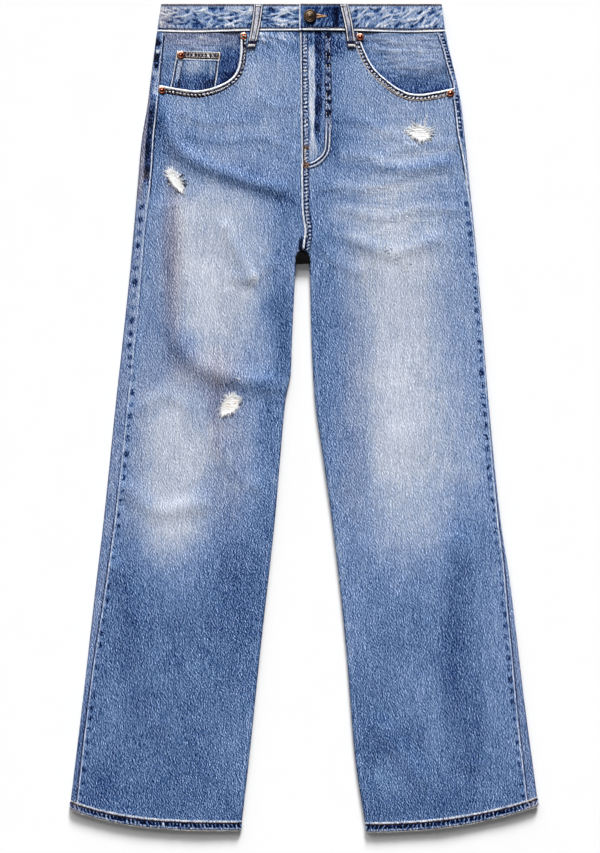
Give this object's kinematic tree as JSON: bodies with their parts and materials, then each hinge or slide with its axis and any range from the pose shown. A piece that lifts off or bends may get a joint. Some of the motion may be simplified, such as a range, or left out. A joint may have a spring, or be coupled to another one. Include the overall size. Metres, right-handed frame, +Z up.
{
  "type": "ripped jeans",
  "caption": "Straight-leg denim jeans laid flat with the front up, with ripped and faded fronts, pocket mouths, belt loops, button and rivets.",
  "frame": {"origin": "under the middle of the garment's outline, on the surface that it lies on", "axes": "+Y from the hems to the waist, +Z up, out of the front of the jeans, -X towards the wearer's right leg"},
  "size_m": [0.6, 1.06, 0.012],
  "materials": {
    "denim": "washed blue denim twill, faded pale on the thighs and knees",
    "denim_dark": "less worn dark blue denim",
    "denim_back": "mid blue denim twill",
    "weft": "loose white cotton weft threads",
    "copper": "worn copper",
    "brass": "dark antique brass"
  },
  "bodies": {
    "root": {"back_left": "denim_back", "back_pocket_left": "denim_back", "back_pocket_right": "denim_back", "back_right": "denim_back", "belt_loop_back_centre": "denim_back", "belt_loop_back_left": "denim_back", "belt_loop_back_right": "denim_back", "belt_loop_front_left": "denim", "belt_loop_front_right": "denim", "button": "brass", "coin_pocket": "denim", "front_left": "denim", "front_right": "denim", "pocket_facing_left": "denim_dark", "pocket_facing_right": "denim_dark", "rivet_coin": "copper", "rivet_left_side": "copper", "rivet_left_waist": "copper", "rivet_right_side": "copper", "rivet_right_waist": "copper", "waistband": "denim", "weft_hip": "weft", "weft_knee": "weft", "weft_thigh": "weft", "yoke_left": "denim_back", "yoke_right": "denim_back"}
  },
  "joints": []
}
